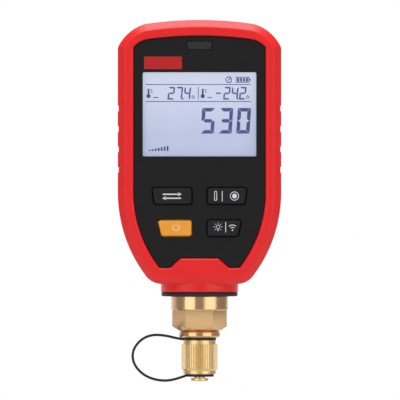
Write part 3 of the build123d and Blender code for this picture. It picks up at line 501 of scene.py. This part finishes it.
def make_fitting():
    source = frame["nodes"]["fitting_body"]
    form = bmesh.new()
    form.from_mesh(source.data)
    bmesh.ops.remove_doubles(form, verts=form.verts, dist=0.000001)
    for vertex in form.verts:
        radius = (vertex.co.x**2 + vertex.co.y**2) ** 0.5
        if abs(radius - thread_radius * MM) < 0.00002 and vertex.co.z < thread_high * MM + 0.0002:
            vertex.co.x *= thread_root * MM / radius
            vertex.co.y *= thread_root * MM / radius
    mesh = bpy.data.meshes.new("fitting_dressed")
    form.to_mesh(mesh)
    form.free()
    mesh.materials.append(finishes["fitting_brass"])
    mesh.materials.append(finishes["milled_brass"])
    for face in mesh.polygons:
        middle = face.center / MM
        outward = Vector((middle.x, middle.y, 0)).normalized().dot(face.normal)
        if hex_low < middle.z < hex_high and outward > 0.8 and Vector(middle.xy).length > collar_radius:
            face.material_index = 1
    mesh.shade_smooth()
    mesh.set_sharp_from_angle(angle=radians(12))
    return show(bpy.data.objects.new("fitting_dressed", mesh))


fitting = give(make_fitting(), "gauge")
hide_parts("fitting_body")
ridge = 0.56
thread = grow("port_thread", thread_tree(), {
    "Turns": (thread_high - thread_low - 2 * ridge) / thread_pitch, "Radius": (thread_radius - ridge) * MM,
    "Rise": (thread_high - thread_low - 2 * ridge) * MM, "Ridge": ridge * MM,
    "Start": (0, 0, (thread_low + ridge) * MM), "Material": finishes["fitting_brass"]})
give(thread, "gauge")


# Display: figures, rules and signs that stand just in front of the display's glass

ink_back = lcd_front - 0.01
ink_front = lcd_front + 0.05
strokes = {"0": "abcdef", "2": "abged", "3": "abgcd", "4": "fgbc", "5": "afgcd", "7": "abc"}


def figure(value, left, low, width, height, stroke, slant, gap):
    """The lit strokes of one seven-stroke figure, mitred at the corners and leaning to the right."""
    middle = height / 2
    half = stroke / 2
    forms = {
        "a": [(gap, height), (width - gap, height), (width - stroke - gap, height - stroke),
              (stroke + gap, height - stroke)],
        "d": [(gap, 0), (width - gap, 0), (width - stroke - gap, stroke), (stroke + gap, stroke)],
        "g": [(half + gap, middle), (stroke + gap, middle + half), (width - stroke - gap, middle + half),
              (width - half - gap, middle), (width - stroke - gap, middle - half), (stroke + gap, middle - half)],
        "f": [(0, height - gap), (stroke, height - stroke - gap), (stroke, middle + half + gap),
              (half, middle + gap), (0, middle + gap)],
        "e": [(0, gap), (stroke, stroke + gap), (stroke, middle - half - gap), (half, middle - gap),
              (0, middle - gap)],
    }
    forms["b"] = [(width - x, z) for x, z in forms["f"]]
    forms["c"] = [(width - x, z) for x, z in forms["e"]]
    return [[(left + x + slant * z / height, low + z) for x, z in forms[s]] for s in strokes[value]]


def figures(value, lefts, *sizes):
    shapes = []
    for character, left in zip(value, lefts):
        shapes += figure(character, left, *sizes)
    return shapes


small = (107.85, 2.65, 5.1, 0.62, 0.5, 0.04)
large = (94.12, 5.35, 10.33, 1.42, 0.7, 0.1)
reading_shapes = figures("274", (-12.98, -9.74, -6.5), *small) + figures("242", (9.5, 12.7, 15.9), *small)
reading_shapes += [box_shape(x, 107.9, x + 0.56, 108.46) for x in (-7.02, 15.24)]
reading_shapes += [box_shape(6.6, 110.12, 8.65, 110.68)]
for x in (-2.6, 19.5):
    reading_shapes += ring_shapes(x, 108.9, 0.34, 0.64)
give(plates("display_readings", reading_shapes, ink_back, ink_front, segment_ink), "gauge")
give(plates("display_main_figures", figures("530", (0.4, 7.6, 14.8), *large), ink_back, ink_front, segment_ink),
     "gauge")

rule_shapes = [box_shape(-21.7, z - 0.15, 20.8, z + 0.15) for z in (113.93, 107.08)]
rule_shapes += [box_shape(-0.61, 107.85, -0.33, 113.04)]
give(plates("display_rules", rule_shapes, ink_back, ink_front, segment_ink), "gauge")


def thermometer(x, low, height, bulb, stem, marks=2):
    """A bulb and stem, with marks beside it."""
    top = low + height
    shapes = [disc_shape(x, low + bulb, bulb), round_shape(x - stem / 2, low + bulb, x + stem / 2, top, stem * 0.45)]
    return shapes + [box_shape(x + stem, top - stem * (1.2 * i + 0.9), x + stem * 2.2, top - stem * (1.2 * i + 0.4))
                     for i in range(marks)]


sign_shapes = thermometer(-20.6, 108.4, 3.9, 0.85, 0.75) + thermometer(1.3, 108.4, 3.9, 0.85, 0.75)
sign_shapes += [box_shape(x, 108.5, x + 2.0, 108.85) for x in (-18.6, 3.2)]
sign_shapes += ring_shapes(11.8, 115.87, 0.98, 1.35) + [bar_shape(11.5, 115.4, 12.4, 116.6, 0.4)]
sign_shapes += [box_shape(14.64, 116.74, 20.1, 117.02), box_shape(14.64, 114.7, 20.1, 114.98),
                box_shape(14.64, 114.98, 14.92, 116.74), box_shape(19.82, 114.98, 20.1, 116.74),
                box_shape(20.12, 115.4, 20.6, 116.3)]
give(plates("display_signs", sign_shapes, ink_back, ink_front, segment_ink), "gauge")
ink_depth = ink_front - ink_back
ink_middle = -(ink_back + ink_front) / 2
charge_bars = grow("display_charge_bars", bar_row, {
    "Count": 4, "First": (15.6 * MM, ink_middle * MM, 115.12 * MM), "Step": (1.2 * MM, 0, 0),
    "Size": (0.82 * MM, ink_depth * MM, 1.46 * MM), "Growth": 0.0, "Material": segment_ink})
give(charge_bars, "gauge")
level_bars = grow("display_level_bars", bar_row, {
    "Count": 7, "First": (-20.1 * MM, ink_middle * MM, 87.1 * MM), "Step": (1.2 * MM, 0, 0),
    "Size": (0.75 * MM, ink_depth * MM, 0.5 * MM), "Growth": 0.5, "Material": segment_ink})
give(level_bars, "gauge")


# Plate on the panel, left bare
plate = plates("panel_plate", [round_shape(-22.4, 120.1, -7.1, 125.2, 0.3)], panel_front - 0.05, panel_front + 0.12,
               plate_red)
give(plate, "gauge")


# Signs printed on the keys

print_back = key_top - 0.01
print_front = key_top + 0.03


def key_print(name, shapes, body, material):
    give(plates(name, shapes, print_back, print_front, material), body)


def px(value):
    return (value - 199.65) * 0.405


def pz(value):
    return (366.1 - value) * 0.405


unit_x, unit_z = px(172.2), pz(196.2)
arrow_shapes = []
for side, z in ((1, unit_z + 0.8), (-1, unit_z - 0.8)):
    tip = unit_x + side * 3.9
    arrow_shapes += [bar_shape(unit_x - side * 3.7, z, tip - side * 1.0, z, 0.5),
                     [(tip - side * 1.4, z + 0.78), (tip, z), (tip - side * 1.4, z - 0.78)][::side]]
key_print("unit_key_print", arrow_shapes, "unit_key_body", pale_print)

record_x, record_z = px(234.5), pz(196)
record_shapes = [arc_shape(px(215.7), pz(199), 0.42, 0.68, -240, 60),
                 round_shape(px(215.7) - 0.55, pz(197.7), px(215.7) - 0.3, pz(192), 0.1),
                 round_shape(px(215.7) + 0.3, pz(197.7), px(215.7) + 0.55, pz(192), 0.1),
                 arc_shape(px(215.7), pz(192.2), 0.3, 0.55, 0, 180)]
record_shapes += [box_shape(px(222.3) - 0.14, pz(201.2), px(222.3) + 0.14, pz(191)), disc_shape(record_x, record_z, 0.95)]
record_shapes += ring_shapes(record_x, record_z, 1.55, 1.8)
key_print("record_key_print", record_shapes, "record_key_body", pale_print)

power_x, power_z = px(176.3), pz(227)
power_shapes = [arc_shape(power_x, power_z, 1.15, 1.5, 125, 415), box_shape(power_x - 0.17, power_z + 0.25,
                                                                           power_x + 0.17, power_z + 1.75)]
key_print("power_key_print", power_shapes, "power_key_body", warm_print)

lamp_x, lamp_z = px(218.1), pz(227)
link_x, link_z = px(232.5), pz(230)
lamp_shapes = ring_shapes(lamp_x, lamp_z + 0.1, 0.66, 0.86) + [
    box_shape(lamp_x - 0.34, lamp_z - 1.25, lamp_x + 0.34, lamp_z - 0.95)]
lamp_shapes += [box_shape(px(225.7) - 0.14, pz(232.1), px(225.7) + 0.14, pz(221.9)), disc_shape(link_x, link_z, 0.28)]
lamp_shapes += [arc_shape(link_x, link_z, r, r + 0.3, 48, 132) for r in (0.95, 1.95)]
key_print("lamp_key_print", lamp_shapes, "lamp_key_body", pale_print)
lamp_rays = grow("lamp_key_rays", rays, {
    "Count": 8, "Centre": (lamp_x * MM, -(print_back + print_front) / 2 * MM, (lamp_z + 0.1) * MM),
    "Reach": (1.55 * MM, 0, 0), "Size": (0.5 * MM, (print_front - print_back) * MM, 0.17 * MM),
    "Material": pale_print})
give(lamp_rays, "lamp_key_body")


# Studio

def soft_box(name, azimuth, distance, height, width, length, radiance, tilt=90.0):
    """A soft box at an azimuth round the object from its front, turned towards it."""
    lamp = bpy.data.lights.new(name, "AREA")
    lamp.shape = "RECTANGLE"
    lamp.size = width
    lamp.size_y = length
    lamp.energy = radiance * pi * width * length
    holder = show(bpy.data.objects.new(name, lamp))
    angle = radians(azimuth)
    holder.location = (distance * sin(angle), -distance * cos(angle), height)
    holder.rotation_euler = (radians(tilt), 0, angle)
    holder.visible_camera = False


soft_box("left_box", -40, 1.1, 0.07, 0.85, 0.85, 1.5)
soft_box("right_box", 45, 1.1, 0.07, 1.0, 0.85, 1.4)
soft_box("top_box", 0, 0.05, 0.75, 0.6, 0.6, 4.8, tilt=0)


def make_world():
    """White to the camera; in reflections white behind the object and dimmer in front and to its right."""
    world = bpy.data.worlds.new("studio")
    bpy.context.scene.world = world
    world.use_nodes = True
    tree = world.node_tree
    background = tree.nodes["Background"]
    kinds = add_node(tree, "ShaderNodeLightPath")
    coordinates = add_node(tree, "ShaderNodeTexCoord")
    side = add_node(tree, "ShaderNodeVectorMath", {1: (-0.25, 0.97, 0)}, operation="DOT_PRODUCT")
    tree.links.new(coordinates.outputs["Generated"], side.inputs[0])
    behind = add_node(tree, "ShaderNodeMapRange", {"From Min": 0.4, "From Max": 0.95, "To Min": 0.28, "To Max": 1.0})
    tree.links.new(side.outputs["Value"], behind.inputs["Value"])
    mirrored = add_node(tree, "ShaderNodeMath", operation="MAXIMUM")
    tree.links.new(kinds.outputs["Is Glossy Ray"], mirrored.inputs[0])
    tree.links.new(kinds.outputs["Is Transmission Ray"], mirrored.inputs[1])
    room = add_node(tree, "ShaderNodeMix", {"A": 0.5}, data_type="FLOAT")
    tree.links.new(mirrored.outputs["Value"], room.inputs["Factor"])
    tree.links.new(behind.outputs["Result"], room.inputs["B"])
    seen = add_node(tree, "ShaderNodeMath", operation="MAXIMUM")
    tree.links.new(room.outputs["Result"], seen.inputs[0])
    tree.links.new(kinds.outputs["Is Camera Ray"], seen.inputs[1])
    tree.links.new(seen.outputs["Value"], background.inputs["Strength"])
    background.inputs["Color"].default_value = (1, 1, 1, 1)


make_world()
form = bmesh.new()
bmesh.ops.create_grid(form, x_segments=8, y_segments=8, size=1.5)
floor = settle(form, "floor", finish("floor_paper", (0.66, 0.66, 0.66), (0.70, 0.70, 0.70), 0.7, 2.0, 0.02))
floor.data.transform(Matrix.Translation((0, 0, -0.066)))
bpy.context.scene.view_settings.view_transform = "Standard"
